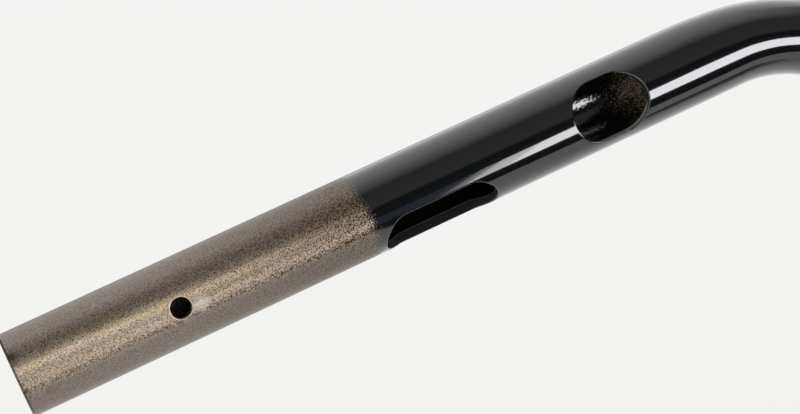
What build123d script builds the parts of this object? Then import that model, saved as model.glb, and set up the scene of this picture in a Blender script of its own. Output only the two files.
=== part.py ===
"""One-inch motorcycle handlebar for internal wiring, bent from one steel tube.

The bar stands as it is fitted to the motorcycle, in millimetres. The origin is the
centre of the clamp section, +X runs along that section to the clutch grip, +Y points
back to the rider and +Z points up. The throttle grip is on the -X side.

The real bar is one length of tube. It is built here as the stretches that the tube
bender works with: the straight runs and the bends between them, laid end to end.
"""

import os
from math import cos, degrees, pi, radians, sin, tan

from build123d import *

# Driving dimensions of the tube
tube_diameter = 25.4
wall = 2.4
end_chamfer = 0.5

# Driving dimensions of the bar: where the straight runs would cross if it had no bends
centre_width = 250
upper_width = 328
upper_back = 60
upper_height = 218
overall_width = 830
pullback = 163
grip_height = 103

# Press bending: the inside of a bend follows the die, and the outside is drawn flat
die_radius = 39.6
flattening = 0.09
widening = 0.045
lead_in = 15
run_in = 22
sections_per_arc = 13
sections_per_lead = 4

# Stations along the grip run, from the open end of the tube
masked_length = 110
peg_hole_station = 49.5
peg_hole_diameter = 6.35
slot_start = 112.1
slot_length = 36.8
slot_width = 15.9
window_station = 189.7
window_length = 24.2
window_width = 18.4

# Angles round the grip run, from square to the bend towards the inside of the bend
window_angle = 10.5
slot_angle = 63.5

# Wire outlet under the clamp section, and the angle of the weld seam below straight ahead
outlet_length = 25.4
outlet_width = 12.7
seam_angle = 22.5

tube_radius = tube_diameter / 2
bend_radius = die_radius + tube_radius
cutter_height = 2 * tube_radius

centre = Vector(0, 0, 0)
lower_corner = Vector(-centre_width / 2, 0, 0)
upper_corner = Vector(-upper_width / 2, upper_back, upper_height)
grip_end = Vector(-overall_width / 2, pullback, grip_height)


class Bend:
    """The bend at a corner of the tube's route, from one point to the next."""

    def __init__(self, start, corner, finish):
        self.ahead = (corner - start).normalized()
        onward = (finish - corner).normalized()
        self.turn = radians(self.ahead.get_angle(onward))
        self.normal = self.ahead.cross(onward).normalized()
        self.inward = self.normal.cross(self.ahead)
        self.reach = bend_radius * tan(self.turn / 2)
        self.entry = corner - self.ahead * (self.reach + lead_in)
        self.exit = corner + onward * (self.reach + lead_in)
        self.centre = corner - self.ahead * self.reach + self.inward * bend_radius
        self.arc_length = bend_radius * self.turn

    def squash(self, along):
        """How far the section is flattened, 0 to 1, at a length from the tangent point."""
        nearer = min(along, self.arc_length - along)
        share = min(max((nearer + lead_in) / (lead_in + run_in), 0), 1)
        return share * share * (3 - 2 * share)

    def section(self, along):
        """The plane across the tube and its two half widths, out of and in the bend."""
        squash = self.squash(along)
        across = tube_radius * (1 + widening * squash)
        depth = tube_radius * (1 - flattening * squash)
        angle = min(max(along / bend_radius, 0), self.turn)
        straight = along - angle * bend_radius
        heading = self.ahead * cos(angle) + self.inward * sin(angle)
        outward = self.ahead * sin(angle) - self.inward * cos(angle)
        place = self.centre + outward * (die_radius + depth) + heading * straight
        return Plane(origin=place, x_dir=self.normal, z_dir=heading), across, depth

    def stretches(self):
        """Lengths from the tangent point of the sections that shape each stretch."""
        ends = (-lead_in, 0, self.arc_length, self.arc_length + lead_in)
        counts = (sections_per_lead, sections_per_arc, sections_per_lead)
        for first, last, count in zip(ends, ends[1:], counts):
            step = (last - first) / (count - 1)
            yield [first + number * step for number in range(count)]


def draw_straight(start, finish, seam=None):
    """A straight run of tube between two points on its axis, its weld seam turned one way."""
    with BuildSketch(Plane(origin=start, x_dir=seam, z_dir=finish - start)) as ring:
        Circle(tube_radius)
        Circle(tube_radius - wall, mode=Mode.SUBTRACT)
    extrude(ring.sketch, amount=(finish - start).length)


def draw_bend(bend):
    """A press-bent stretch: lofts for the outside, and then lofts for the bore."""
    for thickness, mode in ((0, Mode.ADD), (wall, Mode.SUBTRACT)):
        for stations in bend.stretches():
            sections = []
            for along in stations:
                plane, across, depth = bend.section(along)
                with BuildSketch(plane) as ellipse:
                    Ellipse(across - thickness, depth - thickness)
                sections.append(ellipse.sketch)
            loft(sections, mode=mode)


def cut_slot(axis_point, outward, along, length, width):
    """A round-ended opening through the one wall that faces outward."""
    with BuildSketch(Plane(origin=axis_point, x_dir=along, z_dir=outward)) as outline:
        SlotOverall(length, width)
    extrude(outline.sketch, amount=cutter_height, mode=Mode.SUBTRACT)


def finish_piece(piece, label):
    """Name a finished stretch and write it to its own file."""
    piece.part.label = label
    export_step(piece.part, f"parts/{label}.step")


upper_bend = Bend(grip_end, upper_corner, lower_corner)
lower_bend = Bend(upper_corner, lower_corner, centre)

# Directions along the grip run and round it
along_grip = upper_bend.ahead
facing = -upper_bend.normal
inside = upper_bend.inward


def on_grip(station):
    """The point on the tube's axis at a length from the open end."""
    return grip_end + along_grip * station


def round_grip(angle):
    """The direction out of the tube at an angle from square to the bend."""
    return facing * cos(radians(angle)) + inside * sin(radians(angle))


os.makedirs("parts", exist_ok=True)

# Grip end: left bare where the throttle sleeve turns, with a peg hole and broken edges
with BuildPart() as grip_seat:
    draw_straight(grip_end, on_grip(masked_length))
    mouth = grip_seat.faces().sort_by(Axis(grip_end, along_grip))[0]
    chamfer(mouth.edges(), length=end_chamfer)
    with BuildSketch(Plane(origin=on_grip(peg_hole_station), z_dir=round_grip(window_angle))):
        Circle(peg_hole_diameter / 2)
    extrude(amount=cutter_height, mode=Mode.SUBTRACT)

# Control section: the slot under the switch housing and the window for the wiring
with BuildPart() as control_section:
    draw_straight(on_grip(masked_length), upper_bend.entry)
    slot_middle = on_grip(slot_start + slot_length / 2)
    cut_slot(slot_middle, round_grip(slot_angle), along_grip, slot_length, slot_width)
    window_middle = on_grip(window_station)
    cut_slot(window_middle, round_grip(window_angle), along_grip, window_length, window_width)

with BuildPart() as upper_bend_tube:
    draw_bend(upper_bend)

with BuildPart() as riser:
    draw_straight(upper_bend.exit, lower_bend.entry)

with BuildPart() as lower_bend_tube:
    draw_bend(lower_bend)

# Clamp section: the two handlebar clamps grip it either side of the wire outlet
with BuildPart() as clamp_section:
    seam = Vector(0, -cos(radians(seam_angle)), -sin(radians(seam_angle)))
    draw_straight(lower_bend.exit, Vector(-lower_bend.exit.X, 0, 0), seam)
    cut_slot(centre, Vector(0, 0, -1), Vector(1, 0, 0), outlet_length, outlet_width)

finish_piece(clamp_section, "clamp_section")

side_pieces = {
    "grip_end": grip_seat,
    "control_section": control_section,
    "upper_bend": upper_bend_tube,
    "riser": riser,
    "lower_bend": lower_bend_tube,
}
for name, piece in side_pieces.items():
    finish_piece(piece, f"throttle_{name}")
    with BuildPart() as twin:
        mirror(piece.part, about=Plane.YZ)
    finish_piece(twin, f"clutch_{name}")

for name, bend in (("upper", upper_bend), ("lower", lower_bend)):
    print(f"{name} bend: {degrees(bend.turn):.1f} degrees, arc {bend.arc_length:.1f} mm")
print(f"grip run: {(upper_bend.entry - grip_end).length + lead_in:.1f} mm to the tangent point")
print(f"clamp section: {2 * abs(lower_bend.exit.X):.1f} mm straight")
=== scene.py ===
# %% [markdown]
# # A handlebar bent for wires
#
# The real thing is one length of 1 inch steel tube, 2.4 mm thick in the wall. It was
# drilled and slotted for wires, bent round a press die, and powder coated in gloss
# black, with the throttle seat masked so that it stayed bare steel. This lesson dresses
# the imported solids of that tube: it redraws the tube finely enough for a mirror finish,
# then builds its three finishes and lights them.

# %% Load the frame
from math import atan2, cos, hypot, pi, radians, sin, sqrt, tan

import bmesh
import bpy
from mathutils import Matrix, Quaternion, Vector


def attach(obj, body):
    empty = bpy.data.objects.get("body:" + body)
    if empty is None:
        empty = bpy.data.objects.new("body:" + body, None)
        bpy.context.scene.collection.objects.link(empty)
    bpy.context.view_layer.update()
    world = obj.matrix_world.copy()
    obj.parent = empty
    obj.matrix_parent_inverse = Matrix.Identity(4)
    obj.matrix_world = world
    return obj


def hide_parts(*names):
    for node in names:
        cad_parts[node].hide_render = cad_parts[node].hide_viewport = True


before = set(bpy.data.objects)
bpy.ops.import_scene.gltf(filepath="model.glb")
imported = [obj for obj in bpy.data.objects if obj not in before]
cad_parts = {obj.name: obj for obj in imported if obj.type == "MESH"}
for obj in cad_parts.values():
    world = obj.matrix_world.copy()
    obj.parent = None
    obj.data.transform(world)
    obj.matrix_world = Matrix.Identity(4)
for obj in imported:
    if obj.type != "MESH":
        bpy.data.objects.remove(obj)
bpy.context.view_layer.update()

# %% [markdown]
# ## The route of the tube
#
# A bender is told the points where the straight runs would cross, and the radius of the
# die. The same few numbers draw the tube here, in metres, so the fine tube lies exactly
# on the solids. Only one half is worked out, from the throttle grip to the middle.

# %% Sizes of the tube
MM = 0.001
tube_radius = 12.7 * MM
wall = 2.4 * MM
bore_radius = tube_radius - wall
end_chamfer = 0.5 * MM

grip_end = Vector((-415, 163, 103)) * MM
upper_corner = Vector((-164, 60, 218)) * MM
lower_corner = Vector((-125, 0, 0)) * MM
centre = Vector((0, 0, 0))

die_radius = 39.6 * MM
bend_radius = die_radius + tube_radius
flattening = 0.09
widening = 0.045
lead_in = 15 * MM
run_in = 22 * MM
print(f"{2 * tube_radius / MM:.1f} mm tube on a {die_radius / MM:.1f} mm die")

# %% [markdown]
# ## A bend
#
# The press pushes the tube round the die, so the inside of the bend keeps the die's
# curve and the outside is drawn flat. Across the tube a bend is therefore an ellipse
# that grows out of the round tube and back into it. Each ring of the tube is a unit
# circle moved by one matrix, which holds its place, its direction and its two widths.


# %% One bend of the route
class Bend:
    """The bend at a corner of the tube's route, from one point to the next."""

    def __init__(self, start, corner, finish):
        self.ahead = (corner - start).normalized()
        onward = (finish - corner).normalized()
        self.turn = self.ahead.angle(onward)
        self.normal = self.ahead.cross(onward).normalized()
        self.inward = self.normal.cross(self.ahead)
        self.reach = bend_radius * tan(self.turn / 2)
        self.centre = corner - self.ahead * self.reach + self.inward * bend_radius
        self.arc_length = bend_radius * self.turn

    def squash(self, along):
        """How far the section is flattened, 0 to 1, at a length from the tangent."""
        nearer = min(along, self.arc_length - along)
        share = min(max((nearer + lead_in) / (lead_in + run_in), 0), 1)
        return share * share * (3 - 2 * share)

    def ring(self, along, inset=0, twist=0):
        """The matrix that turns a unit circle into the tube's ring at that length."""
        squash = self.squash(along)
        across = tube_radius * (1 + widening * squash)
        depth = tube_radius * (1 - flattening * squash)
        angle = min(max(along / bend_radius, 0), self.turn)
        straight = along - angle * bend_radius
        heading = self.ahead * cos(angle) + self.inward * sin(angle)
        outward = self.ahead * sin(angle) - self.inward * cos(angle)
        place = self.centre + outward * (die_radius + depth) + heading * straight
        turned = Matrix((self.normal, outward, heading)).transposed().to_4x4()
        widths = Matrix.Diagonal((across - inset, depth - inset, 1, 1))
        return Matrix.Translation(place) @ turned @ widths @ Matrix.Rotation(twist, 4, "Z")


upper_bend = Bend(grip_end, upper_corner, lower_corner)
lower_bend = Bend(upper_corner, lower_corner, centre)
along_grip = upper_bend.ahead
facing = -upper_bend.normal
inside = upper_bend.inward
grip_run = (upper_corner - grip_end).length - upper_bend.reach
riser_run = (lower_corner - upper_corner).length - upper_bend.reach - lower_bend.reach
clamp_half = -lower_corner.x - lower_bend.reach
riser_twist = atan2(
    lower_bend.ahead.dot(lower_bend.normal.cross(upper_bend.normal)),
    lower_bend.normal.dot(upper_bend.normal),
)
print(f"grip run {grip_run / MM:.1f} mm, riser {riser_run / MM:.1f} mm to the tangents")

# %% [markdown]
# ## Openings in the grip run
#
# A peg hole, a slot for the switch wires and an oval window for the loom. Each has a
# station along the grip run, measured from the open end, and an angle round the tube.
# The slot and the window have round ends. The peg hole is a slot with no straight part.

# %% Sizes of the openings
masked_length = 110 * MM
slot_angle = radians(63.5)
window_angle = radians(10.5)
openings = {
    "peg_hole": (49.5 * MM, window_angle, 6.35 * MM, 6.35 * MM),
    "slot": (130.5 * MM, slot_angle, 36.8 * MM, 15.9 * MM),
    "window": (189.7 * MM, window_angle, 24.2 * MM, 18.4 * MM),
}
outlet_length = 25.4 * MM
outlet_width = 12.7 * MM


def seat_on_grip(station, angle):
    """Axes for an opening: x along the tube, z out through the wall it cuts."""
    outward = facing * cos(angle) + inside * sin(angle)
    sideways = outward.cross(along_grip)
    turned = Matrix((along_grip, sideways, outward)).transposed().to_4x4()
    return Matrix.Translation(grip_end + along_grip * station) @ turned


for name, (station, *_) in openings.items():
    print(f"{name}: {station / MM:.1f} mm from the open end")

# %% [markdown]
# ## Where the rings go
#
# A mirror finish shows every facet in a bend, so rings stand about every 2 mm there. A
# straight run needs few, except beside an opening, where the grid of faces should be
# fine and should have an edge just clear of the cut.

# %% Stations of the rings
bend_step = 2.2 * MM
plain_step = 8 * MM
opening_step = 2.6 * MM
opening_margin = 1.9 * MM


def spread(first, last, step):
    """Lengths from first to last, evenly spaced at about that step."""
    count = max(1, round((last - first) / step))
    return [first + (last - first) * number / count for number in range(count + 1)]


def grip_stations():
    """Stations along the straight grip run, finer where it is cut."""
    marks = [(end_chamfer, plain_step)]
    for station, _, length, _ in openings.values():
        marks.append((station - length / 2 - opening_margin, opening_step))
        marks.append((station + length / 2 + opening_margin, plain_step))
        if station < masked_length:
            marks.append((masked_length, plain_step))
    marks.append((grip_run - lead_in, plain_step))
    stations = []
    for (first, step), (last, _) in zip(marks, marks[1:]):
        if last - first > opening_margin / 2:
            stations += spread(first, last, step)
    return sorted({round(station, 7) for station in stations})


grip_rings = grip_stations()
print(f"{len(grip_rings)} rings along the grip run")

# %% [markdown]
# ## Drawing the wall of the tube
#
# The tube is a circle extruded again and again, each new ring carried on to its place by
# a matrix. The circle starts in the bore at the middle, runs out to the open end, turns
# round the mouth and comes back along the outside, so the wall is one sheet with no
# seam. The two bends lie in different planes, so the lower bend's rings are twisted by
# the angle between them, which keeps each line of faces straight.

# %% Draw the wall of one half
ring_segments = 96
SKIN, BORE, CUT, ARRIS = range(4)


def skin_rings(inset, chamfer):
    """Matrices for every ring of one skin, from the open end to the middle."""
    rings = [upper_bend.ring(-grip_run, inset + chamfer)]
    rings += [upper_bend.ring(station - grip_run, inset) for station in grip_rings[:-1]]
    for along in spread(-lead_in, upper_bend.arc_length + lead_in, bend_step):
        rings.append(upper_bend.ring(along, inset))
    riser_left = riser_run - 2 * lead_in
    for further in spread(0, riser_left, plain_step)[1:-1]:
        rings.append(upper_bend.ring(upper_bend.arc_length + lead_in + further, inset))
    for along in spread(-lead_in, lower_bend.arc_length + lead_in, bend_step):
        rings.append(lower_bend.ring(along, inset, riser_twist))
    clamp_left = clamp_half - lead_in
    for further in spread(0, clamp_left, opening_step)[1:]:
        along = lower_bend.arc_length + lead_in + further
        rings.append(lower_bend.ring(along, inset, riser_twist))
    return rings


def draw_wall(bm, rings, bore_count):
    """Extrude a circle through the rings, of which the first bore_count are the bore's."""
    circle = bmesh.ops.create_circle(bm, segments=ring_segments, radius=1)["verts"]
    bmesh.ops.transform(bm, matrix=rings[0], verts=circle)
    edges = list({edge for vert in circle for edge in vert.link_edges})
    for number, (before, after) in enumerate(zip(rings, rings[1:]), start=1):
        grown = bmesh.ops.extrude_edge_only(bm, edges=edges)["geom"]
        fresh = {item for item in grown if isinstance(item, bmesh.types.BMVert)}
        bmesh.ops.transform(bm, matrix=after @ before.inverted(), verts=list(fresh))
        for item in grown:
            if isinstance(item, bmesh.types.BMFace):
                item.material_index = BORE if number < bore_count else SKIN
        edges = [
            item
            for item in grown
            if isinstance(item, bmesh.types.BMEdge) and fresh.issuperset(item.verts)
        ]


bm = bmesh.new()
bore_rings = skin_rings(wall, -end_chamfer)
draw_wall(bm, bore_rings[::-1] + skin_rings(0, end_chamfer), len(bore_rings))
print(f"half tube: {len(bm.faces)} faces")

# %% [markdown]
# ## Cutting an opening
#
# A cutter goes straight in, so seen along its path an opening is a plain round-ended
# outline on the outer skin and on the bore alike. Dropping that outline onto each skin
# gives two rims, and bridging them gives the cut wall. The faces under the cutter are
# removed first, and a narrow collar of even faces is left round the rim, because the
# edge is then rounded with a bevel and a bevel needs tidy faces beside it. Powder melts
# into a soft round on the outer rims, and the inner ones are only deburred. The peg
# hole's outer rim is too: it is drilled where the tube stays bare.

# %% Open one skin of the tube
rim_segments = 66
side_cuts = 7
collar = 1.1 * MM
widest_cut = 0.97
skin_tolerance = 0.03 * MM


def outline(bm, radius, length, width):
    """A round-ended loop of edges lying on a skin, under the z axis."""
    ring = bmesh.ops.create_circle(bm, segments=rim_segments, radius=width / 2)["verts"]
    shift = (length - width) / 2
    for vert in ring:
        vert.co.x += shift if vert.co.x > 0 else -shift
        vert.co.z = sqrt(radius**2 - vert.co.y**2)
    edges = list({edge for vert in ring for edge in vert.link_edges})
    sides = [e for e in edges if e.verts[0].co.x * e.verts[1].co.x < 0]
    bmesh.ops.subdivide_edges(bm, edges=sides, cuts=side_cuts)
    verts = {vert for edge in edges for vert in edge.verts}
    found, waiting = set(), list(verts)
    while waiting:
        vert = waiting.pop()
        if vert not in found:
            found.add(vert)
            waiting += [edge.other_vert(vert) for edge in vert.link_edges]
    return list({edge for vert in found for edge in vert.link_edges})


def open_skin(bm, radius, length, width, finish):
    """Make an opening in one skin and return the edges of its rim."""

    def under_cutter(face):
        middle = face.calc_center_median()
        return (
            middle.z > 0
            and abs(middle.x) < length / 2 + collar
            and abs(middle.y) < min(width / 2 + collar, radius * widest_cut)
            and all(abs(hypot(*v.co.yz) - radius) < skin_tolerance for v in face.verts)
        )

    doomed = [face for face in bm.faces if under_cutter(face)]
    near = {edge for face in doomed for edge in face.edges}
    gap = [edge for edge in near if not all(face in doomed for face in edge.link_faces)]
    bmesh.ops.delete(bm, geom=doomed, context="FACES")
    rim = outline(bm, radius, length, width)
    around = outline(bm, radius, length + collar, width + collar)
    for inner, outer in ((rim, around), (around, gap)):
        for face in bmesh.ops.bridge_loops(bm, edges=inner + outer)["faces"]:
            face.material_index = finish
    return rim


# %% Cut through the wall and round both rims
arris = 0.25 * MM


def cut_opening(bm, seat, length, width, rounding, rim_finish):
    """Cut a round-ended opening through the wall on the seat's z side."""
    bmesh.ops.transform(bm, matrix=seat.inverted(), verts=bm.verts)
    rim = open_skin(bm, tube_radius, length, width, SKIN)
    bore_rim = open_skin(bm, bore_radius, length, width, BORE)
    for face in bmesh.ops.bridge_loops(bm, edges=rim + bore_rim)["faces"]:
        face.material_index = CUT
    bmesh.ops.recalc_face_normals(bm, faces=bm.faces)
    for edges, offset, finish in ((rim, rounding, rim_finish), (bore_rim, arris, ARRIS)):
        rounded = bmesh.ops.bevel(
            bm,
            geom=edges,
            offset=offset,
            offset_type="OFFSET",
            affect="EDGES",
            segments=4,
            profile=0.5,
            material=-1,
        )
        for face in rounded["faces"]:
            face.material_index = finish
    bmesh.ops.transform(bm, matrix=seat, verts=bm.verts)


rim_rounding = {"peg_hole": 0.28 * MM, "slot": 0.5 * MM, "window": 0.7 * MM}
for name, (station, angle, length, width) in openings.items():
    seat = seat_on_grip(station, angle)
    rim_finish = ARRIS if name == "peg_hole" else SKIN
    cut_opening(bm, seat, length, width, rim_rounding[name], rim_finish)
    print(f"{name}: {length / MM:.1f} x {width / MM:.1f} mm")

# %% [markdown]
# ## The other half
#
# The solids mirror about the middle of the clamp section, so the fine tube does too. The
# wire outlet lies across the middle, on the underside, and is cut once the halves meet.

# %% Mirror the tube and cut the wire outlet
merge_distance = MM / 100
outlet_rounding = 0.8 * MM
underneath = Matrix.Rotation(pi, 4, "X")

half = bm.verts[:] + bm.edges[:] + bm.faces[:]
bmesh.ops.mirror(bm, geom=half, axis="X", merge_dist=merge_distance)
cut_opening(bm, underneath, outlet_length, outlet_width, outlet_rounding, SKIN)
bmesh.ops.recalc_face_normals(bm, faces=bm.faces)
open_edges = sum(edge.is_boundary for edge in bm.edges)
print(f"whole tube: {len(bm.faces)} faces, {open_edges} open edges")

# %% [markdown]
# ## Two pieces from one tube
#
# The throttle seat is bare steel and everything else is coated, so the tube is parted
# where one solid ends and the next begins. The parting is straight across, and each side
# is closed by a ring of faces inside the metal, where nothing shows. The ring is the
# outer edge extruded down to the bore's edge and merged with it.

# %% Part the throttle seat from the coated tube
parting = masked_length - grip_run
part_ring, part_bore = upper_bend.ring(parting), upper_bend.ring(parting, wall)
near_axis = 2 * tube_radius


def along_and_off_grip(point):
    """How far along the grip run a point of either side is, and its offset from the axis."""
    near = Vector((-abs(point.x), point.y, point.z)) - grip_end
    station = near.dot(along_grip)
    off = near - along_grip * station
    return station, Vector((-off.x if point.x > 0 else off.x, off.y, off.z))


def in_throttle_seat(face):
    """True for a face on the bare side of the parting."""
    middle = face.calc_center_median()
    station, off = along_and_off_grip(middle)
    return middle.x < 0 and station < masked_length and off.length < near_axis


def part_off(whole, bare):
    """A copy of one side of the parting, closed where it was cut."""
    bm = whole.copy()
    doomed = [face for face in bm.faces if in_throttle_seat(face) != bare]
    bmesh.ops.delete(bm, geom=doomed, context="FACES")
    rim = [
        edge
        for edge in bm.edges
        if edge.is_boundary
        and along_and_off_grip(edge.verts[0].co)[1].length > tube_radius - wall / 2
    ]
    grown = bmesh.ops.extrude_edge_only(bm, edges=rim)["geom"]
    fresh = [item for item in grown if isinstance(item, bmesh.types.BMVert)]
    bmesh.ops.transform(bm, matrix=part_bore @ part_ring.inverted(), verts=fresh)
    bmesh.ops.remove_doubles(bm, verts=bm.verts, dist=merge_distance)
    bmesh.ops.recalc_face_normals(bm, faces=bm.faces)
    return bm


seat_bm = part_off(bm, bare=True)
coated_bm = part_off(bm, bare=False)
for name, shape in (("seat", seat_bm), ("coated tube", coated_bm)):
    print(f"{name}: {len(shape.faces)} faces, {sum(e.is_boundary for e in shape.edges)} open")

# %% [markdown]
# ## True normals
#
# A reflection on gloss paint follows the normals, and where the even grid of faces gives
# way to the collar of an opening, averaged normals wobble. On a straight run the true
# normal is known, because it points straight away from the axis, so it is written on
# every face corner that lies on the tube there. The rest keep their smooth normals.

# %% Make a piece and give it true normals
straight_end = grip_run - lead_in
clamp_end = clamp_half - lead_in
same_way = cos(radians(15))
hard_edge = radians(35)


def true_normal(point, face_normal):
    """The tube's own normal where a straight run passes, and a zero vector elsewhere."""
    station, off = along_and_off_grip(point)
    if not end_chamfer - merge_distance < station < straight_end or off.length > near_axis:
        off = Vector((0, point.y, point.z))
        if abs(point.x) > clamp_end:
            return Vector()
    for radius, way in ((tube_radius, 1), (bore_radius, -1)):
        if abs(off.length - radius) < skin_tolerance:
            normal = off.normalized() * way
            return normal if normal.dot(face_normal) > same_way else Vector()
    return Vector()


def make_piece(name, bm, finishes, nodes):
    """Turn the shape into an object that rides on the frame in place of its solids."""
    for face in bm.faces:
        face.smooth = True
    for edge in bm.edges:
        edge.smooth = edge.calc_face_angle(0) < hard_edge
    mesh = bpy.data.meshes.new(name)
    bm.to_mesh(mesh)
    normals = []
    for polygon in mesh.polygons:
        for vertex in polygon.vertices:
            normals.append(true_normal(mesh.vertices[vertex].co, polygon.normal))
    mesh.normals_split_custom_set(normals)
    for finish in finishes:
        mesh.materials.append(finish)
    piece = bpy.data.objects.new(name, mesh)
    bpy.context.scene.collection.objects.link(piece)
    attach(piece, "root")
    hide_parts(*nodes)
    print(f"{name}: {len(mesh.polygons)} faces, stands for {len(nodes)} solids")


# %% [markdown]
# ## Two helpers for finishes
#
# Colours are written as sRGB hex, as on a paint card, and turned to the linear values
# that the renderer works in. One function adds a node with its settings, its values and
# its links. A link comes from a socket, or from a node's first output when a node is
# given. The Mix node has its colour sockets at fixed places, which are named here.

# %% Colour and node helpers
MIX_SHARE, MIX_FIRST, MIX_SECOND, MIX_COLOUR = 0, 6, 7, 2
WHITE = "#FFFFFF"


def linear(code):
    """An sRGB hex colour as linear red, green, blue and alpha."""
    channels = [int(code[start : start + 2], 16) / 255 for start in (1, 3, 5)]
    return [c / 12.92 if c <= 0.04045 else ((c + 0.055) / 1.055) ** 2.4 for c in channels] + [1]


def add(tree, kind, values=None, links=None, **settings):
    """Add a node to a tree, set it up, and give back the node."""
    node = tree.nodes.new(kind)
    for name, value in settings.items():
        setattr(node, name, value)
    for socket, value in (values or {}).items():
        node.inputs[socket].default_value = linear(value) if isinstance(value, str) else value
    for socket, source in (links or {}).items():
        output = source.outputs[0] if isinstance(source, bpy.types.Node) else source
        tree.links.new(output, node.inputs[socket])
    return node


def start_material(name):
    """A new material with an empty node tree."""
    material = bpy.data.materials.new(name)
    material.use_nodes = True
    material.node_tree.nodes.clear()
    return material, material.node_tree


# %% [markdown]
# ## Patterns measured along the grip
#
# The mask line, the specks and the overspray belong to places on the grip run, so they
# are drawn in the grip's own coordinates: millimetres along the tube from the open end,
# up across it, and out towards the front. A Mapping node of the Texture type turns the
# object's coordinates to these. So the sizes of a pattern are plain millimetres, while
# the depth of a bump is a length in the scene, in metres. Both grips have the same
# openings, so a pattern that they share is thrown over to the throttle side first: every
# coordinate is made positive, as y and z are along a grip anyway, and then x is turned
# negative.

# %% Grip coordinates in millimetres
grip_axes = seat_on_grip(0, 0)
throttle_side = (-1, 1, 1)


def grip_mm(tree, stretch=(1, 1, 1), both_grips=False):
    """Grip coordinates, where one step is stretch millimetres."""
    place = add(tree, "ShaderNodeTexCoord").outputs["Object"]
    if both_grips:
        folded = add(tree, "ShaderNodeVectorMath", links={0: place}, operation="ABSOLUTE")
        values = {1: throttle_side}
        place = add(tree, "ShaderNodeVectorMath", values, {0: folded}, operation="MULTIPLY")
    values = {
        "Location": grip_axes.to_translation(),
        "Rotation": grip_axes.to_euler(),
        "Scale": [step * MM for step in stretch],
    }
    return add(tree, "ShaderNodeMapping", values, {"Vector": place}, vector_type="TEXTURE")


print("grip axes", [[round(value, 3) for value in row] for row in grip_axes])

# %% [markdown]
# ## Gloss black powder coat
#
# Polyester powder sprayed on and baked until it flows. It is a black film under a glassy
# face, so it is a dark base with a clear coat on top, which gives a crisp reflection. The
# melt never levels fully: a faint orange peel about 2 mm across is left in it. Under the
# clamps the tube is knurled, so that the bar can't turn in them. The knurl is rolled
# before coating, in diamonds that two sets of slanting ridges make where they cross.

# %% Knurl under the clamps
knurl_pitch = 1.4
knurl_depth = 0.112 * MM
knurl_start, knurl_finish = 31, 57


def knurl(tree):
    """Height of the knurl, from 0 to half its pitch in mm, and 0 off its two bands."""
    place = add(tree, "ShaderNodeTexCoord").outputs["Object"]
    mm = add(tree, "ShaderNodeMapping", {"Scale": [1 / MM] * 3}, {"Vector": place})
    split = add(tree, "ShaderNodeSeparateXYZ", links={"Vector": mm})
    across, back, up = (split.outputs[axis] for axis in "XYZ")
    turned = add(tree, "ShaderNodeMath", links={0: up, 1: back}, operation="ARCTAN2")
    ridges = []
    for slant in (tube_radius / MM, -tube_radius / MM):
        links = {0: turned, 2: across}
        line = add(tree, "ShaderNodeMath", {1: slant}, links, operation="MULTIPLY_ADD")
        values = {1: knurl_pitch / 2}
        ridges.append(add(tree, "ShaderNodeMath", values, {0: line}, operation="PINGPONG"))
    links = {0: ridges[0], 1: ridges[1]}
    cross = add(tree, "ShaderNodeMath", links=links, operation="MINIMUM")
    side = add(tree, "ShaderNodeMath", links={0: across}, operation="ABSOLUTE")
    middle, half = (knurl_start + knurl_finish) / 2, (knurl_finish - knurl_start) / 2
    values = {1: middle, 2: half}
    banded = add(tree, "ShaderNodeMath", values, {0: side}, operation="COMPARE")
    return add(tree, "ShaderNodeMath", links={0: cross, 1: banded}, operation="MULTIPLY")


print(f"knurl from {knurl_start} to {knurl_finish} mm each side, {knurl_pitch} mm pitch")

# %% Powder coat shader
# To the eye: deep black with sharp mirror images, which waver a little.
peel_size = 2.2
peel_depth = 0.0008 * MM


def powder_coat(tree):
    """The shader of the coat."""
    values = {"Scale": 1 / peel_size, "Detail": 1.0}
    peel = add(tree, "ShaderNodeTexNoise", values, {"Vector": grip_mm(tree)})
    values = {"Strength": 1.0, "Distance": knurl_depth / (knurl_pitch / 2)}
    rolled = add(tree, "ShaderNodeBump", values, {"Height": knurl(tree)})
    values = {"Strength": 1.0, "Distance": peel_depth}
    dents = add(tree, "ShaderNodeBump", values, {"Height": peel, "Normal": rolled})
    values = {
        "Base Color": "#080B0C",
        "Roughness": 0.1,
        "IOR": 1.5,
        "Coat Weight": 1.0,
        "Coat Roughness": 0.03,
        "Coat IOR": 1.5,
    }
    links = {"Normal": dents, "Coat Normal": dents}
    return add(tree, "ShaderNodeBsdfPrincipled", values, links)


# %% [markdown]
# ## Bare steel
#
# Drawn steel tube with the mill's dull skin, pitted finely enough to look sandy where
# its reflection turns from light to dark. The oven left a tan bloom on the band that
# faced its burners, with a golden line along its middle. The band is also painted
# lighter where the panels' sheens fall on it, and the golden line follows the upper
# sheen, so the band is partly painted sheen. Stray powder settled on the steel in dark
# specks, most of all on that band and near the mask line, and more of them lie along a
# line 5.4 mm below the middle. The steel also grows darker towards the mask line. So the
# steel is grey above and below and sandy brown between. The open end has a few chips,
# and its chamfer carries a dark line of painted shade. Beside the peg hole the steel is
# worn bright, and below it there is one dark spot.

# %% The band of bloom
# Heights are in mm above the middle of the tube, as seen from the front. The band's
# edges wander in streaks 3 mm long and 1 mm high. Where the band is, the steel is painted
# lighter, as painted sheen from the panels.
streak_size = (3, 1, 1)
band_edges = {"From Min": -7.4, "From Max": -4.2}, {"From Min": 10.0, "From Max": 3.2}
band_wander = {"From Min": 0.3, "From Max": 0.7, "To Min": -1.6, "To Max": 1.6}
lower_edge_wander = 0.2


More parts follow.
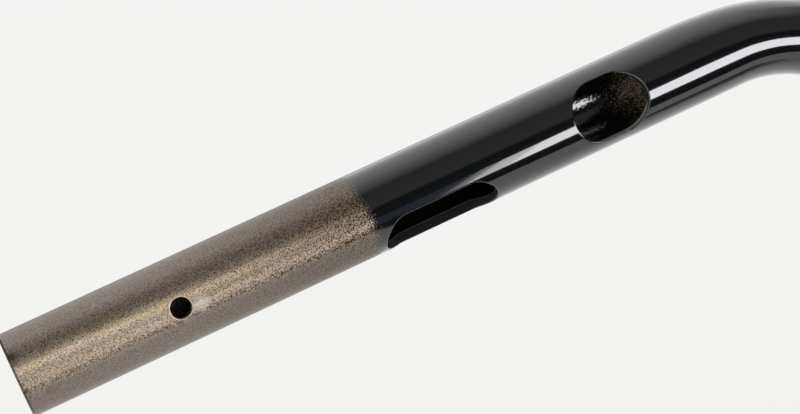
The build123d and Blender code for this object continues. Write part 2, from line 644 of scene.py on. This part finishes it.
def bloom_and_sheen_band(tree, height):
    """Where the bloom and its painted sheen are, 0 to 1, and the height as its lower edge sees
    it.
    """
    values = {"Scale": 1.0, "Detail": 4.0, "Roughness": 0.7}
    streaks = add(tree, "ShaderNodeTexNoise", values, {"Vector": grip_mm(tree, streak_size)})
    drift = add(tree, "ShaderNodeMapRange", band_wander, {"Value": streaks}, clamp=False)
    ragged = add(tree, "ShaderNodeMath", links={0: height, 1: drift})
    values = {1: lower_edge_wander}
    links = {0: drift, 2: height}
    straight = add(tree, "ShaderNodeMath", values, links, operation="MULTIPLY_ADD")
    lower, upper = [
        add(tree, "ShaderNodeMapRange", values, {"Value": edge}, interpolation_type="SMOOTHSTEP")
        for edge, values in zip((straight, ragged), band_edges)
    ]
    band = add(tree, "ShaderNodeMath", links={0: lower, 1: upper}, operation="MULTIPLY")
    return band, straight


print("bloom between", band_edges[0]["From Min"], "and", band_edges[1]["From Min"], "mm")

# %% Clean steel
# To the eye: warm grey, turning to a lighter tan and then to dull gold in the band of bloom.
# The lighter tan is painted sheen, and the gold line runs along the upper sheen.
blotch_size = (30, 3, 3)
gold_height = 1.2
gold_fading = -0.04
gold_range = {"From Min": 0.30, "From Max": 0.52}
tans = {MIX_FIRST: "#C0AE9C", MIX_SECOND: "#BEAB8C"}
greys = {MIX_FIRST: "#928981", MIX_SECOND: "#8B8480"}


def clean_steel(tree, band, height):
    """Grey steel with the band of bloom and painted sheen across it."""
    values = {"Scale": 1.0, "Detail": 2.0}
    blotch = add(tree, "ShaderNodeTexNoise", values, {"Vector": grip_mm(tree, blotch_size)})
    # The golden line lies along the upper sheen, so its colour is partly painted sheen.
    values = {1: gold_height}
    above = add(tree, "ShaderNodeMath", values, {0: height}, operation="SUBTRACT")
    apart = add(tree, "ShaderNodeMath", links={0: above}, operation="ABSOLUTE")
    values = {1: gold_fading}
    links = {0: apart, 2: blotch}
    golden = add(tree, "ShaderNodeMath", values, links, operation="MULTIPLY_ADD")
    tint = add(tree, "ShaderNodeMapRange", gold_range, {"Value": golden})
    # The tans are lighter than the greys: painted sheen where the panels' reflections fall.
    grey, tanned = [
        add(tree, "ShaderNodeMix", pair, {MIX_SHARE: tint}, data_type="RGBA")
        for pair in (greys, tans)
    ]
    links = {
        MIX_SHARE: band,
        MIX_FIRST: grey.outputs[MIX_COLOUR],
        MIX_SECOND: tanned.outputs[MIX_COLOUR],
    }
    return add(tree, "ShaderNodeMix", links=links, data_type="RGBA").outputs[MIX_COLOUR]


print(f"golden line {gold_height} mm above the middle")

# %% Specks of stray powder
# Real specks are finer. They are drawn as coarse as they need to be to show. The two
# ranges near the mask are in mm along the tube from its open end.
speck_size = 0.45
speck_colour = "#35291D"
speck_range = {"From Min": 0.60, "From Max": 0.34}
specks_on_grey, more_on_band = 0.8, 0.5
dark_line_height, dark_line_half_width, more_on_dark_line = -5.4, 0.6, 0.7
specks_near_mask = {"From Min": 88, "From Max": 106, "To Min": 0.65, "To Max": 0.85}
duller_towards_mask = {"From Min": 45, "From Max": 88, "To Max": 0.14}


def speckled(tree, clean, speck, along, band, straight):
    """The clean steel with dark specks on it, growing darker towards the mask line."""
    dark = add(tree, "ShaderNodeMapRange", speck_range, {"Value": speck})
    values = {1: more_on_band, 2: specks_on_grey}
    depth = add(tree, "ShaderNodeMath", values, {0: band}, operation="MULTIPLY_ADD")
    # More specks lie along a line 5.4 mm below the middle.
    values = {1: dark_line_height, 2: dark_line_half_width}
    along_dark_line = add(tree, "ShaderNodeMath", values, {0: straight}, operation="COMPARE")
    values = {1: more_on_dark_line}
    links = {0: along_dark_line, 2: depth}
    depth = add(tree, "ShaderNodeMath", values, links, operation="MULTIPLY_ADD")
    denser = add(tree, "ShaderNodeMapRange", specks_near_mask, {"Value": along})
    links = {0: depth, 1: denser}
    depth = add(tree, "ShaderNodeMath", links=links, operation="MULTIPLY")
    # The steel grows darker along the tube towards the mask line.
    duller = add(tree, "ShaderNodeMapRange", duller_towards_mask, {"Value": along})
    links = {0: dark, 1: depth, 2: duller}
    share = add(tree, "ShaderNodeMath", links=links, operation="MULTIPLY_ADD")
    values = {MIX_SECOND: speck_colour}
    links = {MIX_SHARE: share, MIX_FIRST: clean}
    return add(tree, "ShaderNodeMix", values, links, data_type="RGBA").outputs[MIX_COLOUR]


print(f"specks about {speck_size} mm across")

# %% Chips, and painted shade at the end
# Place (along, up, out) in mm: size in mm, strength and colour.
chips = {
    (1.2, 5.2, 11.5): (2.1, 0.65, "#36362D"),
    (1.2, -5.0, 11.6): (0.9, 0.75, "#4A3129"),
    (0.9, -3.2, 12.2): (0.6, 0.60, "#4A3129"),
    (1.4, -7.0, 10.5): (0.7, 0.45, "#4A3129"),
    (7.6, -7.6, 10.2): (2.4, 0.22, "#5A3D33"),
    (47.6, -6.1, 11.1): (1.3, 0.40, "#3A4038"),
    (55.4, -3.4, 12.2): (3.2, 0.25, "#E4E0D2"),
}
chip_core = 0.4
burr_shade_edge = {"From Min": 0.75, "From Max": 0.55, "To Max": 0.7}
burr_shade_colour = "#2F2820"


def chipped(tree, colour, place, along):
    """The steel's colour with its chips, its worn place and a dark line of painted shade at its
    end.
    """
    for spot, (size, most, stain) in chips.items():
        values = {1: spot}
        away = add(tree, "ShaderNodeVectorMath", values, {0: place}, operation="DISTANCE")
        values = {"From Min": size, "From Max": size * chip_core, "To Max": most}
        chip = add(tree, "ShaderNodeMapRange", values, {"Value": away.outputs["Value"]})
        values = {MIX_SECOND: stain}
        links = {MIX_SHARE: chip, MIX_FIRST: colour}
        colour = add(tree, "ShaderNodeMix", values, links, data_type="RGBA").outputs[MIX_COLOUR]
    # Painted shade: a dark line on the chamfer at the open end.
    burr_shade = add(tree, "ShaderNodeMapRange", burr_shade_edge, {"Value": along})
    values = {MIX_SECOND: burr_shade_colour}
    links = {MIX_SHARE: burr_shade, MIX_FIRST: colour}
    return add(tree, "ShaderNodeMix", values, links, data_type="RGBA").outputs[MIX_COLOUR]


print(f"{len(chips)} chips and marks")

# %% Bare steel shader
# To the eye: a broad, soft sheen, broken into grains where it fades.
pit_depth = 0.02 * MM
steel_roughness = 0.355


def bare_steel(tree):
    """The shader of the bare seat."""
    place = grip_mm(tree)
    split = add(tree, "ShaderNodeSeparateXYZ", links={"Vector": place})
    along, height = split.outputs["X"], split.outputs["Y"]
    values = {"Scale": 1 / speck_size, "Detail": 2.0, "Roughness": 0.65}
    speck = add(tree, "ShaderNodeTexNoise", values, {"Vector": place})
    band, straight = bloom_and_sheen_band(tree, height)
    colour = clean_steel(tree, band, height)
    colour = speckled(tree, colour, speck, along, band, straight)
    colour = chipped(tree, colour, place, along)
    values = {"Strength": 1.0, "Distance": pit_depth}
    pits = add(tree, "ShaderNodeBump", values, {"Height": speck})
    values = {"Metallic": 1.0, "Roughness": steel_roughness}
    links = {"Base Color": colour, "Normal": pits}
    return add(tree, "ShaderNodeBsdfPrincipled", values, links)


# %% [markdown]
# ## Where the coat meets the steel
#
# Powder crept under the edge of the mask, so the coat dies out in specks over a few
# millimetres. The solids part close to that line, so both pieces carry the same mixture
# of the two finishes and agree where they meet.

# %% The skin of the tube
# Lengths are in mm along the tube. The line slants by a twentieth of the height.
mask_start, mask_finish = 107.0, 112.4
mask_slant = 0.05
creep_per_mm = 2.4
creep_range = {"From Min": 0.32, "From Max": 0.68, "To Min": 0.05, "To Max": 0.95}
creep_fade = {"From Min": -0.28, "From Max": 0.08}


def tube_skin(name):
    """A material that is bare before the mask line and coated after it."""
    material, tree = start_material(name)
    place = grip_mm(tree)
    split = add(tree, "ShaderNodeSeparateXYZ", links={"Vector": place})
    links = {0: split.outputs["Y"], 2: split.outputs["X"]}
    edge = add(tree, "ShaderNodeMath", {1: mask_slant}, links, operation="MULTIPLY_ADD")
    values = {"From Min": mask_start, "From Max": mask_finish}
    powder = add(tree, "ShaderNodeMapRange", values, {"Value": edge})
    values = {"Scale": creep_per_mm, "Detail": 3.0, "Roughness": 0.7}
    creep = add(tree, "ShaderNodeTexNoise", values, {"Vector": place})
    scatter = add(tree, "ShaderNodeMapRange", creep_range, {"Value": creep})
    more = add(tree, "ShaderNodeMath", links={0: powder, 1: scatter}, operation="SUBTRACT")
    coated = add(tree, "ShaderNodeMapRange", creep_fade, {"Value": more})
    links = {0: coated, 1: bare_steel(tree), 2: powder_coat(tree)}
    mixed = add(tree, "ShaderNodeMixShader", links=links)
    add(tree, "ShaderNodeOutputMaterial", links={"Surface": mixed})
    return material


seat_skin = tube_skin("bare_masked_steel")
coated_skin = tube_skin("gloss_black_powder_coat")
for skin in (seat_skin, coated_skin):
    print(f"{skin.name}: {len(skin.node_tree.nodes)} nodes")

# %% [markdown]
# ## The bore
#
# Inside, the steel is as the mill left it, brown and dusty. Powder blew in through the
# slot and the window and melted on the wall opposite in wavy gloss black, which breaks
# up into brown specks beyond the window. Those specks are painted light, as light coming
# in through the window, and elsewhere the scale is painted dark as painted shade. One
# noise decides both where the film breaks up and how light the scale under it is, so the
# specks sit in its gaps.

# %% Bore
# To the eye: a black film with bright, crumpled glints, then a brown dust of specks.
# Edges are in mm along the tube. The film's far edge is bowed: it lies further along at
# the top and bottom of the bore, so the film stands there as painted shade.
overspray_edges = (
    {"From Min": 98, "From Max": 110, "To Max": 1.3},
    {"From Min": 209, "From Max": 184, "To Max": 1.2},
)
painted_shade_bow = 0.9
overspray_range = {"From Min": 0.36, "From Max": 0.66}
overspray_fade = {"From Min": -0.35, "From Max": 0.3}
painted_light_past_window = {"From Min": 192, "From Max": 209, "To Min": 0.12, "To Max": 1.15}
scale_browns_in_shade_and_light = {MIX_FIRST: "#14110D", MIX_SECOND: "#D9C6A8"}
scale_speck_size = 0.5
wave_size = 0.9
wave_depth = 0.07 * MM


def bore_wall(name):
    """Brown mill steel with gloss black overspray beside the openings, with painted light and
    shade.
    """
    material, tree = start_material(name)
    place = grip_mm(tree, both_grips=True)
    split = add(tree, "ShaderNodeSeparateXYZ", links={"Vector": place})
    along = split.outputs["X"]
    aside = add(tree, "ShaderNodeMath", links={0: split.outputs["Y"]}, operation="ABSOLUTE")
    # Painted shade: the black film reaches further at the top and bottom of the bore.
    values = {1: -painted_shade_bow}
    bowed = add(tree, "ShaderNodeMath", values, {0: aside, 2: along}, operation="MULTIPLY_ADD")
    ends = [
        add(tree, "ShaderNodeMapRange", values, {"Value": start})
        for start, values in zip((along, bowed), overspray_edges)
    ]
    reach = add(tree, "ShaderNodeMath", links={0: ends[0], 1: ends[1]}, operation="MULTIPLY")
    values = {"Scale": 1 / scale_speck_size, "Detail": 3.0, "Roughness": 0.65}
    speck = add(tree, "ShaderNodeTexNoise", values, {"Vector": place})
    scatter = add(tree, "ShaderNodeMapRange", overspray_range, {"Value": speck})
    more = add(tree, "ShaderNodeMath", links={0: reach, 1: scatter}, operation="SUBTRACT")
    covered = add(tree, "ShaderNodeMapRange", overspray_fade, {"Value": more})

    # Painted light past the window, where light comes in through it; painted shade before it.
    shade = add(tree, "ShaderNodeMapRange", painted_light_past_window, {"Value": along})
    glow = add(tree, "ShaderNodeMath", links={0: scatter, 1: shade}, operation="MULTIPLY")
    scale = add(tree, "ShaderNodeMix", scale_browns_in_shade_and_light, {MIX_SHARE: glow}, data_type="RGBA")
    values = {"Metallic": 0.5, "Roughness": 0.5}
    links = {"Base Color": scale.outputs[MIX_COLOUR]}
    steel = add(tree, "ShaderNodeBsdfPrincipled", values, links)

    values = {"Scale": 1 / wave_size, "Detail": 1.0}
    waves = add(tree, "ShaderNodeTexNoise", values, {"Vector": place})
    values = {"Strength": 1.0, "Distance": wave_depth}
    wavy = add(tree, "ShaderNodeBump", values, {"Height": waves})
    values = {"Base Color": "#0E0D0C", "Roughness": 0.12, "IOR": 1.8}
    film = add(tree, "ShaderNodeBsdfPrincipled", values, {"Normal": wavy})

    mixed = add(tree, "ShaderNodeMixShader", links={0: covered, 1: steel, 2: film})
    add(tree, "ShaderNodeOutputMaterial", links={"Surface": mixed})
    return material


bore_finish = bore_wall("overspray_on_mill_steel")
print(f"{bore_finish.name}: {len(bore_finish.node_tree.nodes)} nodes")

# %% [markdown]
# ## Cut walls and arrises
#
# Powder draws back from a sharp edge as it melts, so the walls of the openings have a
# thin, satin coat. It is greyer on their inner arris. The window's lower wall faces up,
# and its lighter grey there is painted light. The throttle's peg hole is drilled through
# the masked length, and its wall and arrises are clean steel.

# %% Thin coat on the cut walls
# To the eye: satin near-black, with a grey ledge of painted light along the window's bottom.
window_start = {"From Min": 150, "From Max": 165}
ledge_height = {"From Min": -4.5, "From Max": -7.0}
thin_film_and_ledge_light = {MIX_FIRST: "#232322", MIX_SECOND: "#85847F"}

thin_coat, tree = start_material("thin_satin_coat_on_cut_steel")
place = grip_mm(tree, both_grips=True)
split = add(tree, "ShaderNodeSeparateXYZ", links={"Vector": place})
# Painted light: the window's lower wall, which faces up, is a lighter grey.
in_window = add(tree, "ShaderNodeMapRange", window_start, {"Value": split.outputs["X"]})
lower_wall = add(tree, "ShaderNodeMapRange", ledge_height, {"Value": split.outputs["Y"]})
links = {0: in_window, 1: lower_wall}
painted_ledge_light = add(tree, "ShaderNodeMath", links=links, operation="MULTIPLY")
film = add(tree, "ShaderNodeMix", thin_film_and_ledge_light, {MIX_SHARE: painted_ledge_light}, data_type="RGBA")
values = {"Roughness": 0.4, "IOR": 1.5}
links = {"Base Color": film.outputs[MIX_COLOUR]}
satin = add(tree, "ShaderNodeBsdfPrincipled", values, links)
add(tree, "ShaderNodeOutputMaterial", links={"Surface": satin})

# %% Arrises and drilled steel
# To the eye: a thin grey line round an opening, and a pale ring round the peg hole.
thinner_coat, tree = start_material("thinnest_coat_on_an_arris")
values = {"Base Color": "#55534F", "Roughness": 0.4, "IOR": 1.5}
satin = add(tree, "ShaderNodeBsdfPrincipled", values)
add(tree, "ShaderNodeOutputMaterial", links={"Surface": satin})

drilled, tree = start_material("clean_drilled_steel")
values = {"Base Color": "#D6CCB9", "Metallic": 1.0, "Roughness": 0.5}
clean = add(tree, "ShaderNodeBsdfPrincipled", values)
add(tree, "ShaderNodeOutputMaterial", links={"Surface": clean})
print("cut walls:", ", ".join(cut.name for cut in (thin_coat, thinner_coat, drilled)))

# %% [markdown]
# ## Put the pieces on the frame
#
# The bar is rigid, so both pieces ride on its one body. Each takes the place of solids:
# the throttle seat of one, and the coated tube of all the others. A piece's finishes are
# listed in the order of the numbers given to its faces: skin, bore, cut wall and arris.

# %% Pieces
seat_nodes = ["throttle_grip_end"]
coated_nodes = [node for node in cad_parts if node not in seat_nodes]
seat_finishes = [seat_skin, bore_finish, drilled, drilled]
coated_finishes = [coated_skin, bore_finish, thin_coat, thinner_coat]
make_piece("throttle_seat", seat_bm, seat_finishes, seat_nodes)
make_piece("coated_tube", coated_bm, coated_finishes, coated_nodes)

# %% [markdown]
# ## The studio
#
# Gloss black shows only what it reflects, so the studio makes the picture. It is a pale
# floor in a pale room. Reflections see the room as a studio hand dresses it: black
# cloth low in front of the bar and on the floor there, a dim wall above the cloth, and
# a white ceiling. The edge between floor and cloth draws the sharp line along the
# underside of the tube.

# %% Floor
# To the eye: an even, matt off-white.
scene = bpy.context.scene
scene.view_settings.view_transform = "Standard"
floor_gap = 0.05 * MM
floor_reach = 40
floor_colour = "#F3F3F1"


def link_mesh(name, shape, material):
    """A stage object with its place in its mesh."""
    mesh = bpy.data.meshes.new(name)
    shape.to_mesh(mesh)
    shape.free()
    mesh.materials.append(material)
    placed = bpy.data.objects.new(name, mesh)
    scene.collection.objects.link(placed)
    return placed


floor_shape = bmesh.new()
bmesh.ops.create_grid(floor_shape, x_segments=1, y_segments=1, size=floor_reach)
floor_level = -tube_radius - floor_gap
bmesh.ops.translate(floor_shape, vec=(0, 0, floor_level), verts=floor_shape.verts)
floor_paint, tree = start_material("pale_floor_paint")
values = {"Base Color": floor_colour, "Roughness": 1.0, "Specular IOR Level": 0.0}
matt = add(tree, "ShaderNodeBsdfPrincipled", values)
add(tree, "ShaderNodeOutputMaterial", links={"Surface": matt})
link_mesh("floor", floor_shape, floor_paint)
print(f"floor {floor_level / MM:.2f} mm from the middle of the clamp section")

# %% Black cloth on the floor, seen in reflections only
# To the eye: nearly no light at all. It is an even glow, so that no lamp can grey it.
cloth_corner = Vector((-268, -70, 0)) * MM
cloth_right = Vector((0.94, -0.34, 0))
cloth_front = Vector((-0.42, -0.91, 0))
cloth_length = 30
cloth_height = 1 * MM
cloth_glow = 0.03

# A square of side 1 from the origin is stretched and sheared over the floor in front.
cloth_shape = bmesh.new()
bmesh.ops.create_grid(cloth_shape, x_segments=1, y_segments=1, size=0.5)
bmesh.ops.translate(cloth_shape, vec=(0.5, 0.5, 0), verts=cloth_shape.verts)
sheared = Matrix((cloth_right * cloth_length, cloth_front * cloth_length, (0, 0, 1)))
cloth_corner.z = floor_level + cloth_height
cloth_place = Matrix.Translation(cloth_corner) @ sheared.transposed().to_4x4()
bmesh.ops.transform(cloth_shape, matrix=cloth_place, verts=cloth_shape.verts)
cloth_fabric, tree = start_material("black_velvet")
velvet = add(tree, "ShaderNodeEmission", {"Color": WHITE, "Strength": cloth_glow})
add(tree, "ShaderNodeOutputMaterial", links={"Surface": velvet})
cloth = link_mesh("black_cloth", cloth_shape, cloth_fabric)
cloth.visible_camera = False
cloth.visible_diffuse = False
cloth.visible_shadow = False
cloth.visible_transmission = False
print(f"cloth {cloth_length} m each way from its corner")

# %% [markdown]
# ## The room
#
# The world is plain white light for matt things. A glossy ray sees the dressed room
# instead, which changes with the height of the ray and with whether it goes to the
# front or the back. The camera sees the tone that the floor has far away, so that no
# horizon shows.

# %% The dressed room
# Each level is the height of the ray, 0 to 1, and the light it meets there.
front_levels = (0.24, 0.03), (0.34, 0.22), (0.85, 0.17), (0.91, 0.38), (0.97, 0.69), (1, 0.9)
back_levels = (0, 0.1), (0.15, 0.12), (0.3, 1), (1, 1)
turn_to_back = {"From Min": -0.05, "From Max": 0.25}

world = bpy.data.worlds.new("pale_room")
scene.world = world
world.use_nodes = True
tree = world.node_tree
tree.nodes.clear()
ray = add(tree, "ShaderNodeTexCoord").outputs["Generated"]
split = add(tree, "ShaderNodeSeparateXYZ", links={"Vector": ray})
sides = []
for levels in (front_levels, back_levels):
    node = add(tree, "ShaderNodeValToRGB", links={"Fac": split.outputs["Z"]})
    stops = node.color_ramp.elements
    while len(stops) < len(levels):
        stops.new(1.0)
    for stop, (position, level) in zip(stops, levels):
        stop.position = position
        stop.color = (level, level, level, 1)
    sides.append(node)
links = {"Value": split.outputs["Y"]}
behind = add(tree, "ShaderNodeMapRange", turn_to_back, links, interpolation_type="SMOOTHSTEP")
links = {MIX_SHARE: behind, MIX_FIRST: sides[0], MIX_SECOND: sides[1]}
dressed = add(tree, "ShaderNodeMix", links=links, data_type="RGBA").outputs[MIX_COLOUR]
print(f"room dressed with {len(front_levels)} levels in front, {len(back_levels)} behind")

# %% World
path = add(tree, "ShaderNodeLightPath")
plain_room = add(tree, "ShaderNodeBackground", {"Color": WHITE, "Strength": 1.0})
dressed_room = add(tree, "ShaderNodeBackground", {"Strength": 1.0}, {"Color": dressed})
seen_room = add(tree, "ShaderNodeBackground", {"Color": floor_colour, "Strength": 1.0})
links = {0: path.outputs["Is Glossy Ray"], 1: plain_room, 2: dressed_room}
in_gloss = add(tree, "ShaderNodeMixShader", links=links)
links = {0: path.outputs["Is Camera Ray"], 1: in_gloss, 2: seen_room}
in_view = add(tree, "ShaderNodeMixShader", links=links)
add(tree, "ShaderNodeOutputWorld", links={"Surface": in_view})
print(f"{world.name}: {len(tree.nodes)} nodes")

# %% [markdown]
# ## Soft panels
#
# A strip panel low in front of the bar draws the white strip along the coat, which
# climbs as it goes round the bend. It is hung as five parts side by side, because the
# strip fades in beside the slot, bluish at first. A panel in line with it, on the open
# end's side, draws the lower of the two sheens on the bare steel. A third panel, across
# the bar's end, is dark below and bright above and draws the upper one. It ends where
# the coated part of the tube would begin to mirror it. Matt things don't see them.


# %% Hang a soft panel
def soft_panel(name, place, along, away, across, upward, radiance, tint=WHITE):
    """Hang a panel that reaches across and upward from a place, by spans in mm."""
    up = away.cross(along).normalized()
    width, height = (across[1] - across[0]) * MM, (upward[1] - upward[0]) * MM
    lamp = bpy.data.lights.new(name, "AREA")
    lamp.shape = "RECTANGLE"
    lamp.color = linear(tint)[:3]
    lamp.size, lamp.size_y = width, height
    lamp.energy = radiance * pi * width * height
    panel = bpy.data.objects.new(name, lamp)
    scene.collection.objects.link(panel)
    middle = place + (along * sum(across) + up * sum(upward)) / 2 * MM
    turned = Matrix((along, up, away)).transposed().to_4x4()
    panel.matrix_world = Matrix.Translation(middle) @ turned
    panel.visible_camera = False
    panel.visible_diffuse = False
    print(f"{name} {width:.2f} x {height:.2f} m")


# %% The strip and the panel in line with it
strip_place = Vector((-257, -216, 93)) * MM
strip_along = Vector((0.878, 0.140, 0.459)).normalized()
strip_away = Vector((0.385, -0.776, -0.500)).normalized()
strip_upward = (-63, 63)
strip_parts = (
    ((-130, -52), 0.22, "#C4CEFF"),
    ((-52, -40), 1.8, "#F4F6FF"),
    ((-40, -18), 5.0, WHITE),
    ((-18, 30), 8.3, WHITE),
    ((30, 300), 9.5, "#FAFBFF"),
)
steel_across, steel_upward, steel_level = (-400, -130), (-38, 67), 1.8

hung = strip_place, strip_along, strip_away
for number, (across, level, tint) in enumerate(strip_parts):
    soft_panel(f"strip_panel_{number}", *hung, across, strip_upward, level, tint)
soft_panel("strip_panel_on_steel", *hung, steel_across, steel_upward, steel_level)

# %% The panel at the open end's side
side_place = Vector((-430, -155, 5)) * MM
side_along = Vector((0.94, -0.34, 0)).normalized()
side_away = Vector((-0.34, -0.94, 0)).normalized()
side_across = (-330, 0)
side_parts = ((0, 143), 0.1), ((143, 226), 2.6)

hung = side_place, side_along, side_away
for number, (upward, level) in enumerate(side_parts):
    soft_panel(f"side_panel_{number}", *hung, side_across, upward, level)

# %% [markdown]
# ## Camera
#
# A long lens stands opposite the open end and is turned a little towards the bend, so
# the grip run gets only slightly thinner to the eye along its length. The peg hole and
# the window face the lens, and the bore shows through them.

# %% Camera
lens_length, sensor_width = 87.75, 36
camera_station, camera_distance = 6.5 * MM, 565 * MM
camera_aim = Vector((0.60036, 0.79489, -0.08767))
camera_roll = radians(-0.27)

camera_data = bpy.data.cameras.new("camera")
camera_data.lens = lens_length
camera_data.sensor_width = sensor_width
camera_data.clip_start = 0.01
camera = bpy.data.objects.new("camera", camera_data)
scene.collection.objects.link(camera)
scene.camera = camera
camera.location = grip_end + along_grip * camera_station + facing * camera_distance
camera.rotation_mode = "QUATERNION"
aimed = camera_aim.to_track_quat("-Z", "Y")
camera.rotation_quaternion = aimed @ Quaternion((0, 0, 1), camera_roll)
print(f"camera {camera_distance / MM:.0f} mm from the tube, {lens_length} mm lens")

# %% [markdown]
# ## Finish
#
# The view layer is brought up to date.

# %% Finish
bpy.context.view_layer.update()
